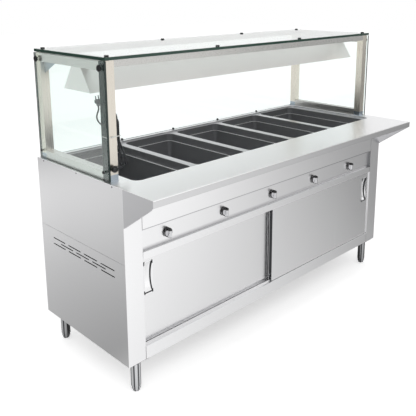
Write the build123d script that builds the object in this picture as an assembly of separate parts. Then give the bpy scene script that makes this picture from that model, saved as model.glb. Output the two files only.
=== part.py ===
from build123d import *
import math
import os

os.makedirs("parts", exist_ok=True)

# Steam table unit with a glass food guard. Millimetres, +Z up. X runs along the table,
# -Y is the operator's side with the doors, knobs and plate shelf, and the origin is on
# the floor under the middle of the whole unit.

# ---- Cabinet ---------------------------------------------------------------------
table_length = 1829.0        # 72 in, five wells in a row
cabinet_depth = 633.0
worktop_height = 898.0       # about 35 in to the worktop
leg_height = 150.0
shelf_reach = 183.0          # plate shelf in front of the cabinet
shelf_edge_height = 29.5     # turned-down front edge of the shelf
sheet = 1.5                  # stainless sheet of the cabinet
post_width = 86.0            # front stiles
post_depth = 52.0
rear_post_leg = 40.0
seam_rise = 4.0              # side panels' joint above the head rail's lower edge
seam_gap = 1.0
hem = 12.0                   # folded edges of the panels
front_groove = 2.0           # shadow gap between a front sheet and the stiles
floor_upturn = 30.0          # upturned edges of the cabinet floor
gusset_drop = 157.0          # height of the shelf gusset at the cabinet

screw_head = 7.0
screw_shank = 3.5
screw_clearance = 0.1
gland_inset = (210.0, 90.0)  # power gland from the right and rear, in the floor
gland_diameter = 20.0
gland_bore = 10.0
gland_stem = (16.0, 18.0)    # stem below and above the gland's hole
gland_hexagon = 15.0

# ---- Vents in the lower side panels ----------------------------------------------
louvre_length = 100.0
louvre_height = 5.0
louvre_pitch = 122.0
louvre_row_pitch = 14.0
louvre_drop = 44.0           # first row below the seam
louvre_rows = (4, 3, 4)
louvre_shift = -12.0         # louvre field's middle from the panel's middle, towards the front

# ---- Control panel, rail, sill ----------------------------------------------------
fascia_height = 189.0        # upper fascia, from the worktop down
panel_height = 92.0          # control panel
rail_height = 32.0           # door head rail
sill_height = 56.5
panel_recess = 13.0
trough_depth = 62.0          # wiring trough behind the control panel

# ---- Sliding doors ----------------------------------------------------------------
door_recess = 5.0            # front door's face behind the cabinet's face
door_thickness = 20.0
door_gap = 4.0               # between the two doors
door_overlap = 73.0
door_clearance = 0.75        # beside and under each door
door_engagement = 13.0       # door height inside the head rail
track_width = 3.0
track_height = 7.0
rail_web = 2.5
pull_width = 38.0
pull_height = 136.0
pull_depth = 14.0
pull_drop = 98.0             # pull's middle below the head rail
pull_inset = 45.0            # pull's middle from the door's outer edge
pull_rim = 4.0
pull_wall = 1.2
glide_length = 70.0
glide_height = 5.0           # glide above the track
glide_seat = 0.1             # glide on the top of its track
glide_clearance = 0.3        # beside the track
glide_inset = 60.0

# ---- Wells ------------------------------------------------------------------------
well_count = 5
row_margin = 84.5            # from the table's end to half a web outside the first well
well_length = 540.0
well_web = 36.0              # deck left between two wells
well_corner = 30.0
deck_margin = 11.0           # deck floor in front of, behind and left of the wells
deck_right_margin = 41.0     # deck floor between the last well and the guard
deck_drop = 8.0              # deck floor below the worktop
deck_front = 36.0            # deck's front edge behind the cabinet's front
well_ledge_depth = 44.0      # pan ledge below the worktop
well_ledge = 8.0
well_depth = 184.0
well_taper = 2.5
well_bottom_round = 14.0
liner_flange = 10.0
deck_flange = 3.5
jacket_gap = 8.0             # jacket wall outside the liner flange's root
element_diameter = 8.0
element_seat = 0.2
element_half = 80.0          # legs of the element from the well's middle
element_inset = 70.0         # element's bend from the well's rear wall
element_reach = 10.0         # element's ends in front of the jacket
jacket_floor_gap = 14.0      # jacket floor below the element

# ---- Knobs and thermostats --------------------------------------------------------
knob_count = 5
knob_left_margin = 136.5     # first knob from the left stile
knob_right_margin = 200.5    # last knob from the right stile
knob_rise = 43.0             # knobs above the head rail's top
skirt_diameter = 40.0
skirt_thickness = 2.5
skirt_gap = 6.5              # skirt in front of the panel, clear of the bush
grip_width = 14.0
grip_height = 44.0
grip_depth = 15.0
grip_taper = 6.0
spindle_diameter = 6.0
spindle_clearance = 0.05
bush_diameter = 10.0
bush_reach = 6.0             # thermostat bush in front of the panel
body_size = 46.0
body_depth = 32.0
hole_clearance = 0.2

# ---- Legs -------------------------------------------------------------------------
leg_inset_x = 62.0
leg_inset_y = 42.0
leg_diameter = 42.0
leg_plate = 80.0
leg_plate_thickness = 3.0
leg_sleeve_length = 124.0
foot_diameter = 37.0
foot_stem_diameter = 20.0
foot_stem_length = 60.0
foot_clearance = 0.08

# ---- Food guard -------------------------------------------------------------------
guard_top = 1377.0           # upper face of the top glass
guard_side_inset = 21.0      # guard frame from the table's ends
guard_front = 104.0          # guard frame behind the cabinet's front
guard_depth = 511.0
tube = 38.0
tube_wall = 2.0
front_rail_height = 26.0
base_rail_height = 36.0
top_glass = 12.0
top_glass_gap = 2.0          # washers under the top glass
top_glass_lip = 8.0          # top glass past the frame
side_glass = 10.0
side_glass_gap = 1.5
rear_glass = 8.0
clip_width = 8.0             # clips along the rear pane's foot
clip_height = 8.0
clip_lip = 2.0
clip_shift = 33.0            # clips' middle from the table's middle
glass_foot = 1.0             # glass above the worktop
corner_plate_along = 95.0    # along the top rail
corner_plate_down = 50.0     # down the post
corner_plate = 3.0
side_fixing_low = 37.0       # lower side fixings above the worktop
side_fixing_high = 41.0      # upper side fixings under the guard's top
low_cap_diameter = 13.0      # small caps along the foot of the side panes
rear_row_shift = 80.0        # middle fixings of the rear row, towards the right
cap_diameter = 26.0
cap_thickness = 5.0
barrel_share = 0.54          # barrel's diameter against its cap's
barrel_reach = 4.0           # barrel outside the glass
bolt_diameter = 8.0          # top and rear bolts
top_cap_diameter = 18.0
top_cap_thickness = 5.0

# ---- Light hood -------------------------------------------------------------------
hood_setback = 196.0         # hood's middle behind the guard's front
hood_height = 94.0
hood_top_width = 70.0
hood_bottom_width = 190.0
lamp_count = 3
lamp_diameter = 12.0
lamp_drop = 34.0             # lamp's middle under the hood's top
lamp_end_space = 70.0
socket_length = 18.0
socket_width = 24.0

# ---- Lamp cord --------------------------------------------------------------------
cord_diameter = 6.0
grommet_diameter = 27.0
grommet_height = 50.0        # above the worktop
grommet_reach = 12.0
tie_height = 174.0
tie_width = 4.0
tie_thickness = 1.0
tie_clearance = 0.1
tie_slack = 0.3              # between the tie and the hank
plug_length = 26.0
plug_width = 24.0
plug_thickness = 16.0
blade_length = 16.0
blade_spacing = 12.7
hank_seat = 0.3              # hank beside the post
tie_reach = 15.0             # hank's thickness at the tie
# Hank sections: height, reach from the post, and front and rear edges from the post's front.
hank_sections = ((46.0, 56.0, 0.0, 28.0), (66.0, 53.0, -1.0, 30.0), (95.0, 43.0, -1.0, 29.0),
                 (136.0, 28.0, 0.0, 26.0), (169.0, 15.0, 1.0, 23.0), (225.0, 15.0, 0.0, 24.0),
                 (250.0, 11.0, 2.0, 22.0), (264.0, 5.0, 5.0, 17.0))
# Cord points from the post's front outer corner at worktop level.
lead_points = ((26.5, -12.0, 50.0), (40.0, -14.0, 49.5), (54.0, -8.0, 53.0), (61.0, 5.5, 61.0))
tail_points = ((45.8, 20.0, 193.0), (46.5, 38.0, 190.5), (48.0, 57.0, 189.5), (46.0, 75.0, 193.0),
               (38.0, 88.0, 204.0), (26.0, 94.0, 218.0), (19.0, 95.0, 235.0), (22.0, 94.0, 252.0),
               (30.0, 92.0, 267.0), (28.0, 92.0, 282.0))

# ---- Places worked out from the sizes above ---------------------------------------
left = -table_length / 2
right = table_length / 2
front = (shelf_reach - cabinet_depth) / 2
rear = front + cabinet_depth
shelf_edge = front - shelf_reach
under_top = worktop_height - sheet
fascia_bottom = worktop_height - fascia_height
rail_top = fascia_bottom - panel_height
rail_bottom = rail_top - rail_height
side_seam_height = rail_bottom + seam_rise
pull_middle = rail_bottom - pull_drop
knob_height = rail_top + knob_rise
well_pitch = (table_length - 2 * row_margin) / well_count
well_width = well_pitch - well_web
well_row = well_count * well_width + (well_count - 1) * well_web
deck_length = well_row + deck_margin + deck_right_margin
deck_x = (deck_right_margin - deck_margin) / 2
deck_depth = well_length + 2 * deck_margin
deck_middle = front + deck_front + deck_depth / 2
deck_top = worktop_height - deck_drop
liner_top = deck_top - sheet
ledge_z = worktop_height - well_ledge_depth
liner_floor = worktop_height - well_depth
element_z = liner_floor - element_seat - element_diameter / 2
jacket_floor = element_z - element_diameter / 2 - jacket_floor_gap
jacket_top = liner_top - sheet
jacket_length = well_row + 2 * jacket_gap
jacket_depth = well_length + 2 * jacket_gap
panel_face = front + panel_recess
frame_left = left + guard_side_inset
frame_right = right - guard_side_inset
frame_front = front + guard_front
frame_rear = frame_front + guard_depth
frame_top = guard_top - top_glass - top_glass_gap
inner_left = left + post_width
inner_right = right - post_width
sill_top = leg_height + sill_height
front_door_y = front + door_recess
rear_door_y = front_door_y + door_thickness + door_gap
sill_depth = door_recess + 2 * door_thickness + door_gap + 3.0
opening_width = inner_right - inner_left
door_width = (opening_width + door_overlap) / 2 - door_clearance
well_x = [(i - (well_count - 1) / 2) * well_pitch for i in range(well_count)]
knob_pitch = (opening_width - knob_left_margin - knob_right_margin) / (knob_count - 1)
knob_x = [inner_left + knob_left_margin + i * knob_pitch for i in range(knob_count)]


def save(name, *solids):
    """Write one node, as a single solid or as a group of separate solids."""
    shapes = [s for solid in solids for s in solid.solids()]
    shape = shapes[0] if len(shapes) == 1 else Compound(children=shapes)
    export_step(shape, f"parts/{name}.step")


def block(x0, x1, y0, y1, z0, z1):
    """A plain block between two corners."""
    middle = Pos((x0 + x1) / 2, (y0 + y1) / 2, (z0 + z1) / 2)
    return middle * Box(x1 - x0, y1 - y0, z1 - z0)


def rounded(width, depth, corner, z0, z1, y=0.0, x=0.0):
    """An upright block with rounded corners."""
    outline = Plane.XY.offset(z0) * Pos(x, y) * RectangleRounded(width, depth, corner)
    return extrude(outline, amount=z1 - z0)


def rod(x, y, z, diameter, length, axis):
    """A round bar from a point along +X, +Y or +Z, or the other way for a minus length."""
    planes = {"x": Plane.YZ, "y": Plane.XZ, "z": Plane.XY}
    plane = planes[axis]
    plane = Plane(origin=(x, y, z), x_dir=plane.x_dir, z_dir=plane.z_dir)
    amount = -length if axis == "y" else length
    return extrude(plane * Circle(diameter / 2), amount=amount)


def along_x(x0, x1, *rectangles):
    """A bent section drawn out along X. Each flat is (y0, y1, z0, z1)."""
    return fused(block(x0, x1, *flat) for flat in rectangles)


def fused(solids):
    """Flats of one bent sheet, joined into one solid."""
    solids = list(solids)
    return solids[0].fuse(*solids[1:]).clean() if len(solids) > 1 else solids[0]


def mirrored(solid):
    """The same piece at the other end of the table."""
    return mirror(solid, about=Plane.YZ)


# ---- Cabinet ---------------------------------------------------------------------

def front_post():
    """Left front stile: a face with a return to the door side and a flange to the side panel."""
    z0, z1 = leg_height, under_top
    return_top = deck_top - 2 * sheet
    face = block(left, inner_left, front, front + sheet, z0, z1)
    reveal = block(inner_left - sheet, inner_left, front, front + post_depth, z0, return_top)
    lip = block(inner_left - hem, inner_left, front + post_depth - sheet, front + post_depth, z0, return_top)
    flange = block(left + sheet, left + 2 * sheet, front, front + post_depth, z0, z1)
    return fused([face, reveal, lip, flange])


def rear_post():
    """Left rear angle that the side and back panels are fixed to."""
    x0, y1 = left + sheet, rear - sheet
    z0, z1 = leg_height + sheet, under_top
    side = block(x0, x0 + sheet, y1 - rear_post_leg, y1, z0, z1)
    back = block(x0, x0 + rear_post_leg, y1 - sheet, y1, z0, z1)
    return fused([side, back])


def upper_side_panel():
    """Plain upper side panel with a hem folded in at the seam."""
    z0 = side_seam_height + seam_gap
    skin = block(left, left + sheet, front + sheet, rear, z0, under_top)
    inner = left + 2 * sheet
    fold = block(left, inner + hem, front + post_depth, rear - rear_post_leg - sheet, z0, z0 + sheet)
    panel = fused([skin, fold])
    for y, z in screw_places():
        panel -= panel_screw(y, z, screw_clearance)
    return panel


def quarter_bar(origin, radius, length):
    """Quarter-round bar that runs towards -Y from its origin, round side inwards and up."""
    plane = Plane(origin=origin, x_dir=(1, 0, 0), z_dir=(0, -1, 0))
    quarter = Circle(radius) & (Pos(radius / 2, radius / 2) * Rectangle(radius, radius))
    return extrude(plane * quarter, amount=length)


def louvre(y, z):
    """One pressed vent: the slot cut from the sheet, and the hood pressed inwards above it."""
    plane = Plane(origin=(left, y, z), x_dir=(0, 1, 0), z_dir=(1, 0, 0))
    slot = extrude(plane * SlotOverall(louvre_length, louvre_height), amount=sheet)
    reach = louvre_height + sheet
    origin = (left + sheet, y + louvre_length / 2, z - louvre_height / 2)
    hood = quarter_bar(origin, reach, louvre_length)
    inner_origin = (left + sheet, y + louvre_length / 2 - sheet, z - louvre_height / 2)
    hood -= quarter_bar(inner_origin, louvre_height, louvre_length - 2 * sheet)
    return slot, hood


def lower_side_panel():
    """Lower side panel with staggered rows of pressed vents."""
    z0, z1 = leg_height, side_seam_height
    panel = block(left, left + sheet, front + sheet, rear, z0, z1)
    inner = left + 2 * sheet
    fold = block(left, inner + hem, front + post_depth, rear - rear_post_leg - sheet, z1 - sheet, z1)
    panel = fused([panel, fold])
    middle = (front + rear) / 2 + louvre_shift
    for row, count in enumerate(louvre_rows):
        for place in range(count):
            y = middle + (place - (count - 1) / 2) * louvre_pitch
            slot, hood = louvre(y, z1 - louvre_drop - row * louvre_row_pitch)
            panel = panel - slot + hood
    return panel


def shelf_gusset():
    """Plate that closes the shelf's left end and carries it from the cabinet."""
    top, tip = under_top, worktop_height - shelf_edge_height
    edge = shelf_edge + sheet
    root = worktop_height - gusset_drop
    plane = Plane.YZ.offset(left)
    points = [(front, top), (edge, top), (edge, tip), (front, root)]
    plate = extrude(plane * make_face(Polyline(*points, close=True)), amount=sheet)
    slope = math.atan2(tip - root, front - edge)
    thick = sheet / math.cos(slope)
    lift = 20.0 * math.tan(slope)
    strip = [(front - 2, root + 2 * math.tan(slope)), (edge + 20, tip - lift),
             (edge + 20, tip - lift + thick), (front - 2, root + 2 * math.tan(slope) + thick)]
    lip = extrude(plane * make_face(Polyline(*strip, close=True)), amount=hem)
    return fused([plate, lip])


def worktop():
    """Top sheet with the deck opening, the shelf's turned-down front edge and side hems."""
    top = block(left, right, shelf_edge, rear, under_top, worktop_height)
    corner = well_corner + deck_margin / 2
    top -= rounded(deck_length, deck_depth, corner, under_top, worktop_height, deck_middle, deck_x)
    z_edge = worktop_height - shelf_edge_height
    edge = block(left, right, shelf_edge, shelf_edge + sheet, z_edge, worktop_height)
    lip_ends = 2 * sheet + hem
    lip = block(left + lip_ends, right - lip_ends, shelf_edge, shelf_edge + hem, z_edge, z_edge + sheet)
    hem_y0, hem_y1 = front + post_depth, rear - sheet - rear_post_leg
    side_hem = block(left + sheet, left + 2 * sheet, hem_y0, hem_y1, under_top - hem, under_top)
    for y, z in screw_places():
        side_hem -= panel_screw(y, z, screw_clearance)
    return fused([top, edge, lip, side_hem, mirrored(side_hem)])


def upper_fascia():
    """Front sheet under the worktop, with a lip back to the control panel."""
    lip = panel_recess + sheet
    return along_x(inner_left + front_groove, inner_right - front_groove,
                   (front, front + sheet, fascia_bottom, under_top),
                   (front, front + lip, fascia_bottom, fascia_bottom + sheet))


def control_panel():
    """Recessed knob panel that folds back into the wiring trough under the wells."""
    back = front + trough_depth
    trough_top = jacket_floor
    panel = along_x(inner_left, inner_right,
                    (panel_face, panel_face + sheet, rail_top, fascia_bottom),
                    (panel_face, back, rail_top, rail_top + sheet),
                    (back - sheet, back, rail_top, trough_top))
    for x in knob_x:
        panel -= rod(x, panel_face - 1, knob_height, bush_diameter + 2 * hole_clearance, sheet + 2, "y")
    return panel


def door_head_rail():
    """Rail over the doors: two downward channels that guide the doors' top edges."""
    y0 = front
    y1 = front_door_y + door_thickness + door_clearance
    y2 = rear_door_y + door_thickness + door_clearance
    web_top = rail_top - 3 * sheet
    return along_x(inner_left + front_groove, inner_right - front_groove,
                   (y0, y2 + rail_web, web_top, rail_top),
                   (y0, y0 + 2 * sheet, rail_bottom, rail_top),
                   (y1, y1 + door_gap - 2 * door_clearance, rail_bottom, rail_top),
                   (y2, y2 + rail_web, rail_bottom, rail_top))


def door_sill():
    """Hollow bottom rail with two raised tracks for the doors' glides."""
    x0, x1 = inner_left + front_groove, inner_right - front_groove
    y1 = front + sill_depth
    outer = block(x0, x1, front, y1, leg_height, sill_top)
    core = block(x0 - 1, x1 + 1, front + sheet, y1 - sheet, leg_height + sheet, sill_top - sheet)
    tracks = []
    for y in (front_door_y, rear_door_y):
        y_mid = y + door_thickness / 2
        tracks.append(block(x0, x1, y_mid - track_width / 2, y_mid + track_width / 2,
                            sill_top, sill_top + track_height))
    return fused([outer - core] + tracks)


def cabinet_floor():
    """Bottom shelf of the cabinet with upturned edges."""
    y0, y1 = front + sill_depth, rear - sheet
    x0 = left + sheet
    pan = block(x0, -x0, y0, y1, leg_height, leg_height + sheet)
    height = leg_height + floor_upturn
    side_y1 = y1 - rear_post_leg
    side = block(x0, x0 + sheet, y0 + seam_gap, side_y1 - seam_gap, leg_height, height)
    inset = x0 + rear_post_leg + seam_gap
    back = block(inset, -inset, y1 - sheet, y1, leg_height, height)
    floor = fused([pan, side, mirrored(side), back])
    return floor - rod(*gland_place(), gland_diameter + 2 * hole_clearance, 4 * sheet, "z")


def gland_place():
    """Lower end of the power gland's hole in the floor."""
    return right - gland_inset[0], rear - gland_inset[1], leg_height - sheet


def power_gland():
    """Strain relief for the supply cord, through the cabinet floor."""
    x, y, z = gland_place()
    below, above = gland_stem
    stem = rod(x, y, z - below, gland_diameter, below + above, "z")
    hexagon = Pos(x, y) * RegularPolygon(gland_hexagon, 6)
    body = extrude(Plane.XY.offset(leg_height - 8.0) * hexagon, amount=8.0)
    locknut = extrude(Plane.XY.offset(leg_height + sheet) * hexagon, amount=5.0)
    return fused([stem, body, locknut]) - rod(x, y, z - 2 * below, gland_bore, 3 * (below + above), "z")


def back_panel():
    """Rear skin of the cabinet."""
    return block(left + sheet, right - sheet, rear - sheet, rear, leg_height, under_top)


def screw_places():
    """Where the left side panel is screwed to the worktop's hem, as (y, z)."""
    z = under_top - hem / 2
    return [(y, z) for y in (front + post_depth + 14.0, (front + rear) / 2, rear - rear_post_leg - 14.0)]


def panel_screw(y, z, clearance=0.0):
    """Flush screw through the side panel into the worktop's hem, or the hole for it."""
    head = rod(left, y, z, screw_head + clearance, sheet, "x")
    shank = rod(left, y, z, screw_shank + clearance, 2 * sheet, "x")
    return fused([head, shank])


# ---- Wells, heaters ----------------------------------------------------------------

def well_deck():
    """Sunk deck around the wells: floor, upright wall and a flange under the worktop."""
    corner = well_corner + deck_margin / 2
    deck = rounded(deck_length + 2 * sheet, deck_depth + 2 * sheet, corner + sheet,
                   deck_top - sheet, under_top, deck_middle, deck_x)
    flange = rounded(deck_length + 2 * deck_flange, deck_depth + 2 * deck_flange,
                     corner + deck_flange, under_top - sheet, under_top, deck_middle, deck_x)
    deck = deck + flange
    deck -= rounded(deck_length, deck_depth, corner, deck_top, under_top, deck_middle, deck_x)
    for x in well_x:
        deck -= rounded(well_width, well_length, well_corner, deck_top - sheet, deck_top,
                        deck_middle, x)
    return deck


def cup(width, length, corner, z_top, z_floor, taper, round_bottom):
    """A tapered tray body with rounded corners and a rounded floor."""
    down = Plane(origin=(0, 0, z_top), x_dir=(1, 0, 0), z_dir=(0, 0, -1))
    body = extrude(down * RectangleRounded(width, length, corner), amount=z_top - z_floor, taper=taper)
    floor_edges = body.edges().group_by(Axis.Z)[0]
    return fillet(floor_edges, round_bottom)


def well_liner(x):
    """Drawn well: flange, straight upper wall, pan ledge, tapered lower bowl."""
    w, d, r = well_width, well_length, well_corner
    flange = rounded(w + 2 * liner_flange, d + 2 * liner_flange, r + liner_flange,
                     liner_top - sheet, liner_top)
    sleeve = rounded(w + 2 * sheet, d + 2 * sheet, r + sheet, ledge_z - sheet, liner_top)
    hollow = rounded(w, d, r, ledge_z, liner_top)
    lw, ld, lr = w - 2 * well_ledge, d - 2 * well_ledge, r - well_ledge
    bowl = cup(lw + 2 * sheet, ld + 2 * sheet, lr + sheet, ledge_z, liner_floor,
               well_taper, well_bottom_round + sheet)
    bowl_hollow = cup(lw, ld, lr, ledge_z, liner_floor + sheet, well_taper, well_bottom_round)
    liner = (flange + sleeve + bowl) - hollow - bowl_hollow
    return Pos(x, deck_middle) * liner


def well_jacket():
    """Open-topped box around all the wells that keeps the heat in."""
    x1 = jacket_length / 2
    y0, y1 = deck_middle - jacket_depth / 2, deck_middle + jacket_depth / 2
    box = block(-x1, x1, y0, y1, jacket_floor, jacket_top)
    box -= block(-x1 + sheet, x1 - sheet, y0 + sheet, y1 - sheet, jacket_floor + sheet, jacket_top)
    for x in well_x:
        for side in (-1, 1):
            box -= rod(x + side * element_half, y0 - 1, element_z,
                       element_diameter + 2 * hole_clearance, sheet + 2, "y")
    return box


def heating_element(x):
    """Tubular heater bent into a U under one well, both ends out to the wiring trough."""
    y_out = deck_middle - jacket_depth / 2 - element_reach
    y_back = deck_middle + well_length / 2 - element_inset
    points = [(-element_half, y_out), (-element_half, y_back), (element_half, y_back), (element_half, y_out)]
    path = FilletPolyline(*[(x + px, py, element_z) for px, py in points], radius=element_half / 2)
    section = Plane(origin=path @ 0, z_dir=path % 0) * Circle(element_diameter / 2)
    return sweep(section, path=path)


# ---- Thermostats, knobs -------------------------------------------------------------

def thermostat(x):
    """Control body behind the panel with its threaded bush, nut and bore for the spindle."""
    y0 = panel_face + sheet
    body = block(x - body_size / 2, x + body_size / 2, y0, y0 + body_depth,
                 knob_height - body_size / 2, knob_height + body_size / 2)
    bush = rod(x, panel_face - bush_reach, knob_height, bush_diameter, bush_reach + sheet + 1, "y")
    hexagon = Plane(origin=(x, panel_face, knob_height), x_dir=(1, 0, 0), z_dir=(0, -1, 0))
    nut = extrude(hexagon * RegularPolygon(7.5, 6), amount=3.0)
    bore = rod(x, panel_face - bush_reach - 1, knob_height,
               spindle_diameter + 2 * spindle_clearance, bush_reach + 22.0, "y")
    return fused([body, bush, nut]) - bore


def knob(x):
    """Control knob: round skirt, upright tapered grip bar with rounded ends, steel spindle."""
    y_skirt = panel_face - skirt_gap
    skirt = rod(x, y_skirt, knob_height, skirt_diameter, -skirt_thickness, "y")
    face = Plane(origin=(x, y_skirt - skirt_thickness, knob_height), x_dir=(0, 0, 1), z_dir=(0, -1, 0))
    grip = extrude(face * SlotOverall(grip_height, grip_width), amount=grip_depth, taper=grip_taper)
    grip = fillet(grip.edges().group_by(Axis.Y)[0], 1.2)
    spindle = rod(x, y_skirt, knob_height, spindle_diameter, skirt_gap + sheet + 18.0, "y")
    return fused([skirt, grip, spindle])


# ---- Sliding doors -------------------------------------------------------------------

def door_parts(y_face, side):
    """Skin, liner, pull and glides of one door. side is -1 for the left door, 1 for the right."""
    outer_edge = inner_left + door_clearance if side < 0 else inner_right - door_clearance
    x0 = outer_edge if side < 0 else outer_edge - door_width
    x1 = x0 + door_width
    z0 = sill_top + door_clearance + 1.0
    z1 = rail_bottom + door_engagement
    y1 = y_face + door_thickness
    skin = block(x0, x1, y_face, y1 - sheet, z0, z1)
    skin -= block(x0 + sheet, x1 - sheet, y_face + sheet, y1, z0 + sheet, z1 - sheet)
    liner = block(x0, x1, y1 - sheet, y1, z0, z1)
    # The track runs up into the door's bottom edge between the glides' cheeks.
    y_mid = (y_face + y1) / 2
    slot_width = track_width + 2 * door_clearance
    slot_y = (y_mid - slot_width / 2, y_mid + slot_width / 2)
    skin -= block(x0 - 1, x1 + 1, *slot_y, z0 - 1, sill_top + track_height + door_clearance)
    x_pull = x0 + pull_inset if side < 0 else x1 - pull_inset
    z_pull = pull_middle
    w = pull_width / 2 + pull_wall + hole_clearance
    h = pull_height / 2 + pull_wall + hole_clearance
    skin -= block(x_pull - w, x_pull + w, y_face - 1, y_face + sheet + 1, z_pull - h, z_pull + h)
    pull = door_pull(x_pull, y_face, z_pull)
    groove = track_width / 2 + glide_clearance
    groove_y = (y_mid - groove, y_mid + groove)
    glides = []
    for x in (x0 + glide_inset, x1 - glide_inset):
        base = z0 + sheet
        glide = block(x - glide_length / 2, x + glide_length / 2, y_face + sheet, y1 - sheet,
                      base, base + track_height + glide_height)
        glides.append(glide - block(x0, x1, *groove_y, z0, sill_top + track_height + glide_seat))
    return skin, liner, pull, glides


def dish(width, height, depth):
    """Scoop with flat sides and a floor that is an arc from top to bottom."""
    radius = (height ** 2 / 4 + depth ** 2) / (2 * depth)
    disc = Pos(depth - radius, 0) * Circle(radius)
    half = Pos(depth / 2, 0) * Rectangle(depth, height)
    plane = Plane(origin=(-width / 2, 0, 0), x_dir=(0, 1, 0), z_dir=(1, 0, 0))
    return extrude(plane * (disc & half), amount=width)


def door_pull(x, y_face, z):
    """Pressed finger pull set into the door's skin, with a flat rim."""
    shell = dish(pull_width + 2 * pull_wall, pull_height + 2 * pull_wall, pull_depth + pull_wall)
    rim_w, rim_h = pull_width + 2 * pull_rim, pull_height + 2 * pull_rim
    rim = Pos(0, -0.5, 0) * Box(rim_w, 1.0, rim_h)
    rim = fillet(rim.edges().filter_by(Axis.Y), pull_rim)
    scoop = dish(pull_width, pull_height, pull_depth)
    mouth = Pos(0, -0.5, 0) * Box(pull_width, 1.0, pull_height)
    return Pos(x, y_face, z) * ((shell + rim) - scoop - mouth)


# ---- Legs ---------------------------------------------------------------------------

def leg_sleeve(x, y):
    """Leg tube with its mounting plate, bored for the foot's stem."""
    plate = block(x - leg_plate / 2, x + leg_plate / 2, y - leg_plate / 2, y + leg_plate / 2,
                  leg_height - leg_plate_thickness, leg_height)
    z0 = leg_height - leg_sleeve_length
    tube_body = rod(x, y, z0, leg_diameter, leg_sleeve_length - leg_plate_thickness / 2, "z")
    bore = rod(x, y, z0 - 1, foot_stem_diameter + 2 * foot_clearance,
               foot_stem_length + 4.0, "z")
    return fused([plate, tube_body]) - bore


def foot(x, y):
    """Bullet foot that screws up into the leg: tapered body with a stem."""
    top = leg_height - leg_sleeve_length
    r, s = foot_diameter / 2, foot_stem_diameter / 2
    stem_top = top + foot_stem_length
    points = [(0, 0), (r - 6.0, 0), (r - 3.5, 2.5), (r - 3.5, 9.0), (r, 12.0), (r, top - 2.0),
              (r - 2.0, top), (s, top), (s, stem_top), (0, stem_top)]
    side = Plane(origin=(x, y, 0), x_dir=(1, 0, 0), z_dir=(0, -1, 0))
    return revolve(side * make_face(Polyline(*points, close=True)), axis=Axis((x, y, 0), (0, 0, 1)))


# ---- Food guard ----------------------------------------------------------------------

def square_tube(x0, x1, y0, y1, z0, z1, axis):
    """Rectangular tube, open at both ends, along x, y or z."""
    outer = block(x0, x1, y0, y1, z0, z1)
    w = tube_wall
    grow = {"x": (-1, w, w), "y": (w, -1, w), "z": (w, w, -1)}[axis]
    gx, gy, gz = grow
    return outer - block(x0 + gx, x1 - gx, y0 + gy, y1 - gy, z0 + gz, z1 - gz)


def guard_posts():
    """Four uprights from the worktop to the top pane's washers, closed at the top."""
    z0, z1 = worktop_height, frame_top
    posts = []
    for x in (frame_left, frame_right - tube):
        for y in (frame_front, frame_rear - tube):
            post = block(x, x + tube, y, y + tube, z0, z1)
            w = tube_wall
            posts.append(post - block(x + w, x + tube - w, y + w, y + tube - w, z0 - 1, z1 - w))
    return posts


def guard_side_rail():
    """Left top tube between the posts."""
    return square_tube(frame_left, frame_left + tube, frame_front + tube, frame_rear - tube,
                       frame_top - tube, frame_top, "y")


def guard_cross_rails():
    """Front and rear top tubes, lower in section than the side ones."""
    x0, x1 = frame_left + tube, frame_right - tube
    z0 = frame_top - front_rail_height
    return [square_tube(x0, x1, y, y + tube, z0, frame_top, "x")
            for y in (frame_front, frame_rear - tube)]


def guard_base_rail():
    """Left bottom tube between the posts, flat on the worktop."""
    z0 = worktop_height
    return square_tube(frame_left, frame_left + tube, frame_front + tube, frame_rear - tube,
                       z0, z0 + base_rail_height, "y")


def corner_plate_solid():
    """Triangular plate in the top rear corner of the left side frame."""
    y, z = frame_rear - tube, frame_top - tube
    x = frame_left + (tube - corner_plate) / 2
    outline = make_face(Polyline((y, z), (y - corner_plate_along, z), (y, z - corner_plate_down), close=True))
    return extrude(Plane.YZ.offset(x) * outline, amount=corner_plate)


hood_top = frame_top - tube
hood_middle = frame_front + hood_setback
hood_half = (frame_right - frame_left) / 2
post_middle_front = frame_front + tube / 2
post_middle_rear = frame_rear - tube / 2
side_fixing_heights = (worktop_height + side_fixing_low, guard_top - side_fixing_high)
side_fixings = [(y, z, low_cap_diameter if z < hood_top else cap_diameter)
                for y in (post_middle_front, post_middle_rear) for z in side_fixing_heights]
top_fixing_span = frame_right - frame_left - tube
top_front_x = [(i / 3 - 0.5) * top_fixing_span for i in range(4)]
top_rear_x = [top_front_x[0], *[x + rear_row_shift for x in top_front_x[1:3]], top_front_x[3]]
top_fixings = [(x, y) for row, y in ((top_front_x, post_middle_front), (top_rear_x, post_middle_rear)) for x in row]
rear_clip_x = [(i - 1.5) * well_pitch + clip_shift for i in range(4)]


def glass_panes():
    """Top, left, right and rear panes, drilled for the standoffs."""
    x_side = frame_left - side_glass_gap - side_glass
    lip = top_glass_lip
    top = block(frame_left - lip, frame_right + lip, frame_front - lip, frame_rear + lip,
                guard_top - top_glass, guard_top)
    for x, y in top_fixings:
        top -= rod(x, y, guard_top - top_glass - 1, bolt_diameter + 2 * hole_clearance, top_glass + 2, "z")
    z0, z1 = worktop_height + glass_foot, guard_top - top_glass - 3.0
    side = block(x_side, x_side + side_glass, frame_front - 6.0, frame_rear + 6.0, z0, z1)
    for y, z, cap_size in side_fixings:
        side -= rod(x_side - 1, y, z, cap_size * barrel_share + 2 * hole_clearance, side_glass + 2, "x")
    y_rear = frame_rear + side_glass_gap
    rear_pane = block(frame_left + 1, frame_right - 1, y_rear, y_rear + rear_glass, z0, z1)
    for x in (frame_left + tube / 2, frame_right - tube / 2):
        for z in side_fixing_heights:
            rear_pane -= rod(x, y_rear - 1, z, bolt_diameter + 2 * hole_clearance, rear_glass + 2, "y")
    return top, side, rear_pane


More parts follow.
